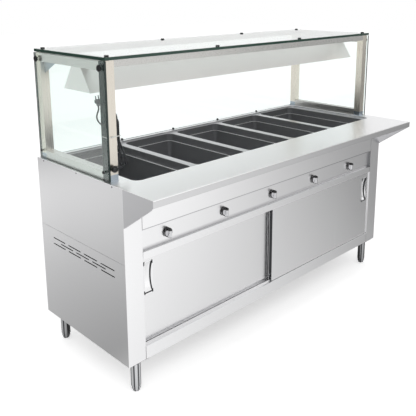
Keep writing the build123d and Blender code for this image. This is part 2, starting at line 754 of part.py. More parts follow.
def side_standoffs():
    """Barrels of the left pane's fixings, and the caps on their ends."""
    barrels, caps = [], []
    x_tip = frame_left - side_glass_gap - side_glass - barrel_reach
    length = frame_left - x_tip
    for y, z, cap_size in side_fixings:
        barrels.append(rod(x_tip, y, z, cap_size * barrel_share, length, "x"))
        cap = rod(x_tip - cap_thickness, y, z, cap_size, cap_thickness, "x")
        caps.append(chamfer(cap.edges().filter_by(GeomType.CIRCLE).sort_by(Axis.X)[0], 1.5))
    return barrels, caps


def top_standoffs():
    """Washers and bolts of the top pane, and the caps over them."""
    barrels, caps = [], []
    for x, y in top_fixings:
        washer = rod(x, y, frame_top, top_cap_diameter, top_glass_gap, "z")
        bolt = rod(x, y, frame_top, bolt_diameter, top_glass_gap + top_glass, "z")
        barrels.append(fused([washer, bolt]))
        cap = rod(x, y, guard_top, top_cap_diameter, top_cap_thickness, "z")
        caps.append(chamfer(cap.edges().filter_by(GeomType.CIRCLE).sort_by(Axis.Z)[-1], 1.0))
    return barrels, caps


def rear_standoffs():
    """Bolts and small caps of the rear pane."""
    bolts, caps = [], []
    y0 = frame_rear
    y_cap = y0 + side_glass_gap + rear_glass
    for x in (frame_left + tube / 2, frame_right - tube / 2):
        for z in side_fixing_heights:
            bolts.append(rod(x, y0, z, bolt_diameter, side_glass_gap + rear_glass, "y"))
            caps.append(rod(x, y_cap, z, low_cap_diameter, 4.0, "y"))
    return bolts, caps


def rear_clip(x):
    """Small channel clip on the worktop that holds the rear pane's foot."""
    y0 = frame_rear + side_glass_gap - clip_lip
    y1 = y0 + rear_glass + 2 * clip_lip
    z0, z1 = worktop_height, worktop_height + clip_height
    clip = block(x - clip_width / 2, x + clip_width / 2, y0, y1, z0, z1)
    gap = 0.2
    return clip - block(x - clip_width, x + clip_width, y0 + clip_lip - gap, y1 - clip_lip + gap,
                        z0 + glass_foot, z1 + 1)


# ---- Light hood ------------------------------------------------------------------------

def hood_solid(shrink):
    """The hood's outer form, or its hollow when shrunk by the sheet."""
    t = shrink
    top, low = hood_top - t, hood_top - hood_height - (1 if t else 0)
    a, b = hood_top_width / 2 - t, hood_bottom_width / 2 - t
    section = [(hood_middle - a, top), (hood_middle + a, top), (hood_middle + b, low), (hood_middle - b, low)]
    plane = Plane.YZ.offset(-hood_half + t)
    return extrude(plane * make_face(Polyline(*section, close=True)), amount=2 * (hood_half - t))


def light_hood():
    """Trapezoid reflector with closed ends, hung from the side rails' lower faces."""
    return hood_solid(0) - hood_solid(sheet)


def lamps_and_sockets():
    """Infrared tubes end to end under the hood's top, each between two sockets."""
    z = hood_top - lamp_drop
    span = 2 * (hood_half - lamp_end_space) / lamp_count
    tubes, sockets = [], []
    for i in range(lamp_count):
        x0 = -hood_half + lamp_end_space + i * span
        tubes.append(rod(x0 + socket_length, hood_middle, z, lamp_diameter,
                         span - 2 * socket_length, "x"))
        for x in (x0, x0 + span - socket_length):
            sockets.append(block(x, x + socket_length, hood_middle - socket_width / 2,
                                 hood_middle + socket_width / 2, z - socket_width / 2, hood_top - sheet))
    return tubes, sockets


# ---- Lamp cord ---------------------------------------------------------------------------

grommet_x = frame_left + tube / 2 - 5.0
grommet_y = frame_front - grommet_reach
grommet_z = worktop_height + grommet_height
hank_face = frame_left + tube + hank_seat


def cord_grommet():
    """Ball strain relief on the front face of the left front post, bored for the cord."""
    ball = Pos(grommet_x, grommet_y, grommet_z) * Sphere(grommet_diameter / 2)
    stem = rod(grommet_x, grommet_y, grommet_z, 16.0, grommet_reach, "y")
    d = grommet_diameter
    behind = block(grommet_x - d, grommet_x + d, frame_front, frame_front + d, grommet_z - d, grommet_z + d)
    points = route(lead_points)
    way = (points[1] - points[0]).normalized()
    bore = Plane(origin=points[0] - way * cord_diameter, z_dir=way) * Circle(cord_diameter / 2)
    return ball + stem - behind - extrude(bore, amount=4 * cord_diameter)


def cord_hank():
    """Outer shape of the tied bundle of cord on the inner side of the post."""
    sections = []
    for height, reach, y0, y1 in hank_sections:
        middle = Pos(hank_face + reach / 2, frame_front + (y0 + y1) / 2, worktop_height + height)
        sections.append(middle * Ellipse(reach / 2, (y1 - y0) / 2))
    return loft(sections, ruled=True)


def cord_tie():
    """Band round the post and the hank, with its lock on the front."""
    x0, x1 = frame_left - tie_clearance, hank_face + tie_reach + tie_slack
    y0, y1 = frame_front - tie_clearance, frame_front + tube + tie_clearance
    z0 = worktop_height + tie_height - tie_width / 2
    t = tie_thickness
    band = block(x0 - t, x1 + t, y0 - t, y1 + t, z0, z0 + tie_width)
    band -= block(x0, x1, y0, y1, z0, z0 + tie_width)
    lock_x = frame_left + tube * 0.4
    lock = block(lock_x - 4.0, lock_x + 4.0, y0 - t - 3.0, y0 - t, z0 - 1.0, z0 + tie_width + 1.0)
    return fused([band, lock])


def route(points):
    """Cord points, given from the post's front outer corner at worktop level."""
    return [Vector(frame_left + x, frame_front + y, worktop_height + z) for x, y, z in points]


def cord_tube(points):
    """Straight runs joined by arcs as large as their runs allow. Returns the tube and its radii."""
    radii = []
    for a, b, c in zip(points, points[1:], points[2:]):
        turn = math.radians((b - a).get_angle(c - b))
        radii.append(0.45 * min((b - a).length, (c - b).length) / math.tan(turn / 2))
    path = FilletPolyline(*points, radius=radii)
    section = Plane(origin=path @ 0, z_dir=path % 0) * Circle(cord_diameter / 2)
    tube_solid = sweep(section, path=path)
    drawn = path.length * math.pi * cord_diameter ** 2 / 4
    print("cord radii", [round(r, 1) for r in radii], "length", round(path.length, 1),
          "volume ratio", round(tube_solid.volume / drawn, 4))
    return tube_solid


def cord_plug():
    """Two-blade plug on the cord's end, moulded body with a waist and flat blades."""
    end, before = route(tail_points)[-1], route(tail_points)[-2]
    axis = (end - before).normalized()
    place = Plane(origin=end, x_dir=(1, 0, 0), z_dir=axis)
    neck = extrude(RectangleRounded(plug_width * 0.45, plug_thickness * 0.6, 3.0),
                   amount=plug_length * 0.6, taper=-9.0)
    head = Pos(0, 0, plug_length * 0.5) * extrude(RectangleRounded(plug_width, plug_thickness, 4.0),
                                                  amount=plug_length * 0.5, taper=6.0)
    body = neck + head
    blades = [Pos(side * blade_spacing / 2, 0, plug_length + blade_length / 2) * Box(1.5, 6.3, blade_length)
              for side in (-1, 1)]
    return place * fused([body] + blades)


# ---- Writing the nodes -------------------------------------------------------------------

save("front_posts", front_post(), mirrored(front_post()))
save("rear_posts", rear_post(), mirrored(rear_post()))
save("upper_side_panels", upper_side_panel(), mirrored(upper_side_panel()))
vented = lower_side_panel()
save("lower_side_panels", vented, mirrored(vented))
screws = [panel_screw(y, z) for y, z in screw_places()]
save("panel_screws", *screws, *[mirrored(screw) for screw in screws])
save("back_panel", back_panel())
save("cabinet_floor", cabinet_floor())
save("power_gland", power_gland())
save("worktop", worktop())
save("shelf_gussets", shelf_gusset(), mirrored(shelf_gusset()))
save("upper_fascia", upper_fascia())
save("control_panel", control_panel())
save("door_head_rail", door_head_rail())
save("door_sill", door_sill())

save("well_deck", well_deck())
for i, x in enumerate(well_x, 1):
    save(f"well_liner_{i}", well_liner(x))
save("well_jacket", well_jacket())
save("heating_elements", *[heating_element(x) for x in well_x])
save("thermostats", *[thermostat(x) for x in knob_x])
for i, x in enumerate(knob_x, 1):
    save(f"knob_{i}", knob(x))

for name, y_face, side in (("left", rear_door_y, -1), ("right", front_door_y, 1)):
    skin, liner, pull, glides = door_parts(y_face, side)
    save(f"{name}_door_skin", skin)
    save(f"{name}_door_liner", liner)
    save(f"{name}_door_pull", pull)
    save(f"{name}_door_glides", *glides)

leg_x = table_length / 2 - leg_inset_x
leg_places = {"front_left": (-leg_x, front + leg_inset_y), "front_right": (leg_x, front + leg_inset_y),
              "rear_left": (-leg_x, rear - leg_inset_y), "rear_right": (leg_x, rear - leg_inset_y)}
save("leg_sleeves", *[leg_sleeve(x, y) for x, y in leg_places.values()])
for name, (x, y) in leg_places.items():
    save(f"foot_{name}", foot(x, y))

save("guard_posts", *guard_posts())
side_rails = [guard_side_rail(), guard_base_rail()]
save("guard_side_rails", *side_rails, *[mirrored(rail) for rail in side_rails])
save("guard_cross_rails", *guard_cross_rails())
save("guard_corner_plates", corner_plate_solid(), mirrored(corner_plate_solid()))
top_pane, side_pane, rear_pane = glass_panes()
save("top_glass", top_pane)
save("left_glass", side_pane)
save("right_glass", mirrored(side_pane))
save("rear_glass", rear_pane)
side_barrels, side_caps = side_standoffs()
top_barrels, top_caps = top_standoffs()
rear_bolts, rear_caps = rear_standoffs()
save("glass_standoffs", *side_barrels, *[mirrored(b) for b in side_barrels], *top_barrels, *rear_bolts)
save("standoff_caps", *side_caps, *[mirrored(c) for c in side_caps], *top_caps, *rear_caps)
save("rear_glass_clips", *[rear_clip(x) for x in rear_clip_x])

save("light_hood", light_hood())
lamp_tubes, sockets = lamps_and_sockets()
save("hood_lamps", *lamp_tubes)
save("lamp_sockets", *sockets)

save("cord_grommet", cord_grommet())
save("cord_tie", cord_tie())
save("lamp_cord", cord_tube(route(lead_points)), cord_tube(route(tail_points)))
save("cord_hank", cord_hank())
save("cord_plug", cord_plug())
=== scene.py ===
import bpy
import math
from mathutils import Matrix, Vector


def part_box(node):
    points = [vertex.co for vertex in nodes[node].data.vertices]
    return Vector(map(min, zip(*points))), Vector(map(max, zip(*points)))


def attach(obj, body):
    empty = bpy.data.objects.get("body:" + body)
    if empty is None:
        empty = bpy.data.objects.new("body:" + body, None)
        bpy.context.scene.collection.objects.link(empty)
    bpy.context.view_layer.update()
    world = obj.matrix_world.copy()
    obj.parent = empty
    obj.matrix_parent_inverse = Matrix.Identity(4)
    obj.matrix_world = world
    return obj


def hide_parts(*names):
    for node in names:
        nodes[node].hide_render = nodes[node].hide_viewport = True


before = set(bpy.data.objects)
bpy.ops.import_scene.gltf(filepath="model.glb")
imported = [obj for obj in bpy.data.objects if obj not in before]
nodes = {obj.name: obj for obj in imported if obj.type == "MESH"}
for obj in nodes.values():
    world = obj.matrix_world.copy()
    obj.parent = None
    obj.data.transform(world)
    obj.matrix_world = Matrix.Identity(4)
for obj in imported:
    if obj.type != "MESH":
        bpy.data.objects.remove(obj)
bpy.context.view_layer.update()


# ---- Camera ----
# Eye height of a standing customer, off the table's lamp-cord end, looking along the doors. The
# lens is a little long, and shifted, so that the uprights stay nearly parallel.
camera_data = bpy.data.cameras.new("view_camera")
camera_data.sensor_width = 36.0
camera_data.lens = 51.72
camera_data.shift_x = -0.0127
camera_data.shift_y = -0.1966
camera_data.clip_end = 60.0
camera = bpy.data.objects.new("view_camera", camera_data)
bpy.context.scene.collection.objects.link(camera)
camera.matrix_world = Matrix((
    (0.71390, 0.15692, -0.68244, -2.1468),
    (-0.70023, 0.15443, -0.69701, -1.9678),
    (-0.00399, 0.97546, 0.22012, 1.6115),
    (0.0, 0.0, 0.0, 1.0)))
bpy.context.scene.camera = camera
bpy.context.scene.view_settings.view_transform = "Standard"


# ---- Cabinet sheet ----
# Folded panels of 1.5 mm stainless sheet, screwed and welded into a box. The sheet has a number 4
# brushed finish with its grain along the table, which gives soft, wide reflections.
def linear(code):
    """sRGB hex value as linear colour."""
    parts = [int(code[i:i + 2], 16) / 255.0 for i in (1, 3, 5)]
    return [c / 12.92 if c <= 0.04045 else ((c + 0.055) / 1.055) ** 2.4 for c in parts] + [1.0]


def add_node(material, kind, inputs=(), **settings):
    """Adds one shader node. An input takes a value, a socket, or a node for its first output."""
    node = material.node_tree.nodes.new(kind)
    for name, value in settings.items():
        setattr(node, name, value)
    for name, value in dict(inputs).items():
        source = value.outputs[0] if isinstance(value, bpy.types.Node) else value
        if isinstance(source, bpy.types.NodeSocket):
            material.node_tree.links.new(source, node.inputs[name])
        else:
            node.inputs[name].default_value = source
    return node


def new_material(name):
    """An empty material, and the place on the piece."""
    material = bpy.data.materials.new(name)
    material.use_nodes = True
    material.node_tree.nodes.clear()
    return material, add_node(material, "ShaderNodeTexCoord").outputs["Object"]


def finish(material, shader):
    """Joins a shader to the material's output."""
    add_node(material, "ShaderNodeOutputMaterial", {0: shader})
    return material


def dress(material, *names):
    """Gives CAD nodes a material."""
    for name in names:
        mesh = nodes[name].data
        mesh.materials.clear()
        mesh.materials.append(material)


def brushed_steel(name, code, roughness, grain_axis, contrast=0.5):
    """Brushed stainless steel. The real lines are 0.1 mm wide and are drawn 3 mm wide to show."""
    line_mm, length_mm, cloud_scale = 3.0, 700.0, 1.6
    rough_swing, tone_swing, cloud_swing = 0.07 * contrast, 0.03 * contrast, 0.04
    bump_strength, bump_depth = 0.03 * contrast, 0.0003
    material, place = new_material(name)
    scale = [1000.0 / (length_mm if axis == grain_axis else line_mm) for axis in "xyz"]
    stretched = add_node(material, "ShaderNodeMapping", {"Vector": place, "Scale": scale})
    lines = add_node(material, "ShaderNodeTexNoise", {"Vector": stretched, "Scale": 1.0, "Detail": 4.0})
    clouds = add_node(material, "ShaderNodeTexNoise", {"Vector": place, "Scale": cloud_scale, "Detail": 1.0})
    rough = add_node(material, "ShaderNodeMapRange", {
        "Value": lines, "To Min": roughness - rough_swing, "To Max": roughness + rough_swing})
    tone = add_node(material, "ShaderNodeMapRange", {
        "Value": lines, "To Min": 1.0 - tone_swing, "To Max": 1.0 + tone_swing})
    wide = add_node(material, "ShaderNodeMapRange", {
        "Value": clouds, "To Min": 1.0 - cloud_swing, "To Max": 1.0 + cloud_swing})
    both = add_node(material, "ShaderNodeMath", {0: tone, 1: wide}, operation="MULTIPLY")
    tinted = add_node(material, "ShaderNodeVectorMath", {0: linear(code)[:3], "Scale": both}, operation="SCALE")
    bump = add_node(material, "ShaderNodeBump", {
        "Height": lines, "Strength": bump_strength, "Distance": bump_depth})
    return finish(material, add_node(material, "ShaderNodeBsdfPrincipled", {
        "Base Color": tinted, "Metallic": 1.0, "Roughness": rough, "Normal": bump}))


dress(brushed_steel("brushed_stainless_long", "#f7f7f8", 0.30, "x"), "door_head_rail", "door_sill",
      "back_panel", "cabinet_floor", "rear_posts")
# The side panels and gussets are darker copies of the same steel: their darker tones are painted shade.
dress(brushed_steel("brushed_stainless_side", "#dededf", 0.30, "y"), "upper_side_panels", "lower_side_panels")
dress(brushed_steel("brushed_stainless_gusset", "#c9c9cb", 0.34, "y"), "shelf_gussets")
dress(brushed_steel("zinc_screw", "#5f6063", 0.30, "z"), "panel_screws")


# ---- Legs and feet ----
# Stainless tube legs with bullet feet that screw in and out. The tube is drawn and polished
# lengthwise; its bright bands with dark lines between them are painted reflections.
def recolour(material, where, code):
    """Gives a metal another colour where a value on its surface is 1."""
    # A Mix node takes its colours at inputs 6 and 7 and gives its own at output 2.
    shader = next(node for node in material.node_tree.nodes if node.type == "BSDF_PRINCIPLED")
    colour = shader.inputs["Base Color"]
    mixed = add_node(material, "ShaderNodeMix", {
        0: where, 6: colour.links[0].from_socket, 7: linear(code)}, data_type="RGBA")
    material.node_tree.links.new(mixed.outputs[2], colour)


def tube_with_painted_reflections(name, code, reflection_code):
    """Polished tube with painted reflections: soft dark lines along it, seven to the turn."""
    line_count, first_line, line_starts, line_full = 7.0, 0.6, 0.1, 0.8
    material = brushed_steel(name, code, 0.16, "z", 0.3)
    # The dark lines are painted reflections, laid out by the way the surface faces.
    normal = add_node(material, "ShaderNodeNewGeometry").outputs["Normal"]
    facing = add_node(material, "ShaderNodeSeparateXYZ", {0: normal}).outputs
    turn = add_node(material, "ShaderNodeMath", {0: facing["Y"], 1: facing["X"]}, operation="ARCTAN2")
    bands = add_node(material, "ShaderNodeMath", {0: turn, 1: line_count, 2: first_line}, operation="MULTIPLY_ADD")
    wave = add_node(material, "ShaderNodeMath", {0: bands}, operation="SINE")
    line = add_node(material, "ShaderNodeMapRange", {"Value": wave, "From Min": line_starts, "From Max": line_full})
    recolour(material, line, reflection_code)
    return material


dress(tube_with_painted_reflections("leg_tube_steel", "#d2d3d5", "#4c4d50"), "leg_sleeves", "foot_front_left",
      "foot_front_right", "foot_rear_left", "foot_rear_right")


# ---- Fascia, control panel and front posts ----
# Brushed sheet under the shelf. The panel is set back between the posts. Shade is painted along
# its top line, over its foot and on the end walls of the recess.
def surface_place(material):
    """X, Y and Z of the place on the piece."""
    place = add_node(material, "ShaderNodeTexCoord").outputs["Object"]
    return add_node(material, "ShaderNodeSeparateXYZ", {0: place}).outputs


def surface_facing(material):
    """X, Y and Z of the way that the face looks."""
    normal = add_node(material, "ShaderNodeNewGeometry").outputs["True Normal"]
    return add_node(material, "ShaderNodeSeparateXYZ", {0: normal}).outputs


panel_low, panel_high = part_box("control_panel")


def fascia_with_seam_shade(name, code, seam_shade_code):
    """Fascia with painted shade along its lower edge, at the seam over the panel, drawn 4 mm wide to show."""
    seam_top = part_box("upper_fascia")[0][2] + 0.004
    material = brushed_steel(name, code, 0.30, "x")
    height = surface_place(material)["Z"]
    # Painted shade along the fascia's lower edge.
    seam = add_node(material, "ShaderNodeMath", {0: height, 1: seam_top}, operation="LESS_THAN")
    recolour(material, seam, seam_shade_code)
    return material


def panel_with_painted_shade(name, code, panel_shade_code):
    """Panel with soft painted shade over its lowest 18 mm, and a line of painted shade under its top."""
    foot, shade_height, line_starts, line_full = panel_low[2], 0.018, 0.006, 0.003
    material = brushed_steel(name, code, 0.30, "x")
    height = surface_place(material)["Z"]
    # Painted shade, fading up from the panel's foot and in under its top.
    low = add_node(material, "ShaderNodeMapRange", {
        "Value": height, "From Min": foot, "From Max": foot + shade_height, "To Min": 1.0, "To Max": 0.0})
    high = add_node(material, "ShaderNodeMapRange", {
        "Value": height, "From Min": panel_high[2] - line_starts, "From Max": panel_high[2] - line_full})
    panel_shade = add_node(material, "ShaderNodeMath", {0: low, 1: high}, operation="MAXIMUM")
    recolour(material, panel_shade, panel_shade_code)
    return material


def end_walls_with_shade(material, wall_shade_code):
    """Paints shade on the walls at the recess's ends, which look along the table."""
    middle, half_height = (panel_low[2] + panel_high[2]) / 2, (panel_high[2] - panel_low[2]) / 2
    wall_reach, square_on = panel_high[0] + 0.012, 0.7
    at = surface_place(material)
    sideways = add_node(material, "ShaderNodeMath", {0: surface_facing(material)["X"]}, operation="ABSOLUTE")
    is_wall = add_node(material, "ShaderNodeMath", {0: sideways, 1: square_on}, operation="GREATER_THAN")
    level = add_node(material, "ShaderNodeMath", {0: at["Z"], 1: middle, 2: half_height}, operation="COMPARE")
    outward = add_node(material, "ShaderNodeMath", {0: at["X"]}, operation="ABSOLUTE")
    inside = add_node(material, "ShaderNodeMath", {0: outward, 1: wall_reach}, operation="LESS_THAN")
    in_recess = add_node(material, "ShaderNodeMath", {0: level, 1: inside}, operation="MULTIPLY")
    end_wall = add_node(material, "ShaderNodeMath", {0: in_recess, 1: is_wall}, operation="MULTIPLY")
    # Painted shade on the end walls of the recess.
    recolour(material, end_wall, wall_shade_code)
    return material


wall_shade_grey = "#77787a"
dress(fascia_with_seam_shade("seamed_stainless", "#f7f7f8", "#c2c2c4"), "upper_fascia")
dress(end_walls_with_shade(panel_with_painted_shade("recessed_stainless", "#f4f4f5", "#b9b9bb"), wall_shade_grey), "control_panel")
dress(end_walls_with_shade(brushed_steel("brushed_stainless_post", "#f6f6f7", 0.30, "z", 0.2), wall_shade_grey), "front_posts")


# ---- Knobs and thermostats ----
# Die-cast knobs, satin plated, with the skirt's rim and both ends of the grip enamelled black.
# Their spindles go to dark phenolic thermostats behind the panel.
def moulded(name, code, roughness, grain_mm=1.2, ior=1.46):
    """Moulded plastic or rubber with a fine spark-eroded grain that takes the shine off."""
    bump_strength, bump_depth = 0.12, 0.0002
    material, place = new_material(name)
    grain = add_node(material, "ShaderNodeTexNoise", {"Vector": place, "Scale": 1000.0 / grain_mm, "Detail": 3.0})
    bump = add_node(material, "ShaderNodeBump", {
        "Height": grain, "Strength": bump_strength, "Distance": bump_depth})
    return finish(material, add_node(material, "ShaderNodeBsdfPrincipled", {
        "Base Color": linear(code), "Roughness": roughness, "IOR": ior, "Normal": bump}))


def enamelled_knob(name, piece, enamel_code, plated_code):
    """Satin plating, with black enamel on the rim, the pointer end and the heel."""
    rim_radius, pointer_height, heel_height, skirt_depth = 0.0165, 0.010, 0.018, 0.0145
    pit_scale, smoothest, roughest = 900.0, 0.2, 0.32
    low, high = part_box(piece)
    axis_x, axis_z = (low[0] + high[0]) / 2, (low[2] + high[2]) / 2
    material, place = new_material(name)
    at = surface_place(material)
    flat = add_node(material, "ShaderNodeVectorMath", {0: place, 1: (1.0, 0.0, 1.0)}, operation="MULTIPLY")
    radius = add_node(material, "ShaderNodeVectorMath", {
        0: flat, 1: (axis_x, 0.0, axis_z)}, operation="DISTANCE").outputs["Value"]
    outer = add_node(material, "ShaderNodeMath", {0: radius, 1: rim_radius}, operation="GREATER_THAN")
    on_skirt = add_node(material, "ShaderNodeMath", {0: at["Y"], 1: low[1] + skirt_depth}, operation="GREATER_THAN")
    rim = add_node(material, "ShaderNodeMath", {0: outer, 1: on_skirt}, operation="MULTIPLY")
    pointer = add_node(material, "ShaderNodeMath", {
        0: at["Z"], 1: axis_z + pointer_height}, operation="GREATER_THAN")
    heel = add_node(material, "ShaderNodeMath", {0: at["Z"], 1: axis_z - heel_height}, operation="LESS_THAN")
    ends = add_node(material, "ShaderNodeMath", {0: pointer, 1: heel}, operation="MAXIMUM")
    black = add_node(material, "ShaderNodeMath", {0: rim, 1: ends}, operation="MAXIMUM")
    pits = add_node(material, "ShaderNodeTexNoise", {"Vector": place, "Scale": pit_scale, "Detail": 2.0})
    satin = add_node(material, "ShaderNodeMapRange", {"Value": pits, "To Min": smoothest, "To Max": roughest})
    enamel = add_node(material, "ShaderNodeBsdfPrincipled", {
        "Base Color": linear(enamel_code), "Roughness": 0.3, "IOR": 1.55})
    plated = add_node(material, "ShaderNodeBsdfPrincipled", {
        "Base Color": linear(plated_code), "Metallic": 1.0, "Roughness": satin})
    return finish(material, add_node(material, "ShaderNodeMixShader", {0: black, 1: plated, 2: enamel}))


for number in range(1, 6):
    knob = f"knob_{number}"
    dress(enamelled_knob(f"plated_and_enamelled_{knob}", knob, "#101012", "#dcdcde"), knob)
dress(moulded("thermostat_phenolic", "#2a2623", 0.5), "thermostats")
dress(moulded("gland_nylon", "#1a1a1b", 0.5), "power_gland")


# ---- Sliding doors ----
# Two pans of brushed stainless with a liner behind, on nylon glides over raised tracks. The
# right door's folded side, towards the left door, carries painted shade.
def door_with_hem_shade(name, code, hem_shade_code):
    """Brushed door with painted shade on its side towards the other door."""
    square_on = -0.7
    material = brushed_steel(name, code, 0.27, "z", 0.12)
    sideways = surface_facing(material)["X"]
    # Painted shade on the side that faces the other door.
    hem = add_node(material, "ShaderNodeMath", {0: sideways, 1: square_on}, operation="LESS_THAN")
    recolour(material, hem, hem_shade_code)
    return material


door_white = "#f2f2f3"
dress(brushed_steel("brushed_stainless_door", door_white, 0.27, "z", 0.12), "left_door_skin",
      "left_door_liner", "right_door_liner")
dress(door_with_hem_shade("hemmed_stainless_door", door_white, "#3c3d3f"), "right_door_skin")
dress(moulded("glide_nylon", "#d8d6cc", 0.4), "left_door_glides", "right_door_glides")


# ---- Finger pulls ----
# Scoops pressed from polished stainless, with flat walls and an arched floor. Shade is painted
# in the corner between wall and floor, and at the foot of the mouth.
def pull_with_painted_shade(name, piece, code, corner_shade_code):
    """Polished pull with painted shade in its corners and at its heel."""
    floor_radius, wall, rim = 0.1721, 0.0012, 0.004
    corner_height, corner_width, heel_height, face_depth = 0.0055, 0.0015, 0.0045, 0.0003
    low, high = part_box(piece)
    middle_x, middle_z = (low[0] + high[0]) / 2, (low[2] + high[2]) / 2
    arch_centre = (0.0, high[1] - wall - floor_radius, middle_z)
    wall_from = (high[0] - low[0]) / 2 - rim - corner_width
    material = brushed_steel(name, code, 0.12, "x", 0.2)
    at = surface_place(material)
    flat = add_node(material, "ShaderNodeCombineXYZ", {"Y": at["Y"], "Z": at["Z"]})
    reach = add_node(material, "ShaderNodeVectorMath", {
        0: flat, 1: arch_centre}, operation="DISTANCE").outputs["Value"]
    deep = add_node(material, "ShaderNodeMath", {
        0: reach, 1: floor_radius - corner_height}, operation="GREATER_THAN")
    across = add_node(material, "ShaderNodeMath", {0: at["X"], 1: middle_x}, operation="SUBTRACT")
    aside = add_node(material, "ShaderNodeMath", {0: across}, operation="ABSOLUTE")
    by_wall = add_node(material, "ShaderNodeMath", {0: aside, 1: wall_from}, operation="GREATER_THAN")
    corner = add_node(material, "ShaderNodeMath", {0: deep, 1: by_wall}, operation="MULTIPLY")
    foot = add_node(material, "ShaderNodeMath", {0: at["Z"], 1: low[2] + rim + heel_height}, operation="LESS_THAN")
    inner = add_node(material, "ShaderNodeMath", {0: at["Y"], 1: low[1] + face_depth}, operation="GREATER_THAN")
    heel = add_node(material, "ShaderNodeMath", {0: foot, 1: inner}, operation="MULTIPLY")
    dark = add_node(material, "ShaderNodeMath", {0: corner, 1: heel}, operation="MAXIMUM")
    # Painted shade in the corners and at the heel.
    recolour(material, dark, corner_shade_code)
    return material


for side in ("left", "right"):
    pull = f"{side}_door_pull"
    dress(pull_with_painted_shade(f"polished_pull_{side}", pull, "#f4f4f5", "#4a4b4d"), pull)


# ---- Wells ----
# Drawn wells of dull stainless, 0.8 mm thick, painted a little lighter below the pan ledge against
# the shade there, with a painted highlight on the ledge. The jacket is galvanised, with sheathed heaters.
worktop_low, worktop_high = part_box("worktop")


def well_steel(name, above_ledge_code, below_ledge_code, ledge_highlight_code):
    """Dull drawn steel, painted a little lighter below the ledge against its shade, with a painted highlight on the
    ledge.
    """
    ledge_height, ledge_half, level_from = worktop_high[2] - 0.044, 0.004, 0.6
    stain_scale, stain_reach, blend_below, blend_above = 25.0, 0.01, 0.06, 0.01
    smoothest, roughest = 0.3, 0.42
    material, place = new_material(name)
    height = surface_place(material)["Z"]
    stains = add_node(material, "ShaderNodeTexNoise", {"Vector": place, "Scale": stain_scale, "Detail": 4.0})
    shift = add_node(material, "ShaderNodeMapRange", {
        "Value": stains, "To Min": -stain_reach, "To Max": stain_reach})
    wavy = add_node(material, "ShaderNodeMath", {0: height, 1: shift}, operation="ADD")
    # Painted light: the steel below the ledge is made a little lighter, against the shade there.
    above = add_node(material, "ShaderNodeMapRange", {
        "Value": wavy, "From Min": ledge_height - blend_below, "From Max": ledge_height + blend_above})
    colour = add_node(material, "ShaderNodeMix", {
        0: above, 6: linear(below_ledge_code), 7: linear(above_ledge_code)}, data_type="RGBA").outputs[2]
    upward = surface_facing(material)["Z"]
    flat = add_node(material, "ShaderNodeMath", {0: upward, 1: level_from}, operation="GREATER_THAN")
    near = add_node(material, "ShaderNodeMath", {0: height, 1: ledge_height, 2: ledge_half}, operation="COMPARE")
    painted_highlight = add_node(material, "ShaderNodeMath", {0: flat, 1: near}, operation="MULTIPLY")
    rough = add_node(material, "ShaderNodeMapRange", {"Value": stains, "To Min": smoothest, "To Max": roughest})
    finish(material, add_node(material, "ShaderNodeBsdfPrincipled", {
        "Base Color": colour, "Metallic": 0.5, "Roughness": rough}))
    # A painted highlight on the ledge.
    recolour(material, painted_highlight, ledge_highlight_code)
    return material


dress(well_steel("drawn_well_steel", "#7f8082", "#86878a", "#ffffff"), *[f"well_liner_{i}" for i in range(1, 6)])
dress(brushed_steel("jacket_steel", "#8a8b8d", 0.45, "x"), "well_jacket")
dress(brushed_steel("heater_sheath", "#4b4440", 0.5, "y"), "heating_elements")


# ---- Worktop and deck ----
# One brushed sheet makes the worktop and the plate shelf. Its turned-down front carries painted
# shade, darker than its top, and the bend between them a painted highlight. The deck lies round the wells.
def edged_worktop(name, top_code, front_shade_code, bend_highlight_code):
    """Brushed worktop with painted shade on its front and a painted highlight along the bend, drawn 3.5 mm wide to
    show.
    """
    front_face, bend_foot = worktop_low[1] + 0.0005, worktop_high[2] - 0.0035
    material = brushed_steel(name, top_code, 0.34, "x")
    at = surface_place(material)
    on_front = add_node(material, "ShaderNodeMath", {0: at["Y"], 1: front_face}, operation="LESS_THAN")
    on_bend = add_node(material, "ShaderNodeMath", {0: at["Z"], 1: bend_foot}, operation="GREATER_THAN")
    painted_highlight = add_node(material, "ShaderNodeMath", {0: on_front, 1: on_bend}, operation="MULTIPLY")
    # Painted shade on the front face, and a painted highlight along the bend.
    recolour(material, on_front, front_shade_code)
    recolour(material, painted_highlight, bend_highlight_code)
    return material


dress(edged_worktop("polished_worktop", "#fdfdfe", "#d8d8d9", "#ffffff"), "worktop")
dress(brushed_steel("polished_deck", "#c4c4c6", 0.30, "x"), "well_deck")


# ---- Food guard ----
# Satin stainless square tube, welded, with rails and corner plates of the same steel. The front
# posts carry painted shade in dark green on their outer sides under the side panes, and the posts' welded feet are
# duller.
def post_with_side_shade(name, code, side_shade_code, foot_code):
    """Satin tube with painted shade on its outer side at the front, and a dull foot."""
    face_depth, shade_width, foot_height = 0.0005, 0.06, 0.024
    low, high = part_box("guard_posts")
    material = brushed_steel(name, code, 0.28, "z")
    at = surface_place(material)
    outward = add_node(material, "ShaderNodeMath", {0: at["X"]}, operation="ABSOLUTE")
    on_side = add_node(material, "ShaderNodeMath", {0: outward, 1: high[0] - face_depth}, operation="GREATER_THAN")
    at_front = add_node(material, "ShaderNodeMath", {0: at["Y"], 1: low[1] + shade_width}, operation="LESS_THAN")
    side_shade = add_node(material, "ShaderNodeMath", {0: on_side, 1: at_front}, operation="MULTIPLY")
    at_foot = add_node(material, "ShaderNodeMath", {0: at["Z"], 1: low[2] + foot_height}, operation="LESS_THAN")
    recolour(material, at_foot, foot_code)
    # Painted shade in dark green on the outer side at the front.
    recolour(material, side_shade, side_shade_code)
    return material


dress(post_with_side_shade("satin_guard_tube", "#ddd7cc", "#2c3a36", "#aab4bd"), "guard_posts")
dress(brushed_steel("satin_guard_rail", "#c9c8c5", 0.28, "y"), "guard_side_rails", "guard_cross_rails")
dress(brushed_steel("corner_plate_steel", "#b4bec7", 0.4, "y"), "guard_corner_plates")


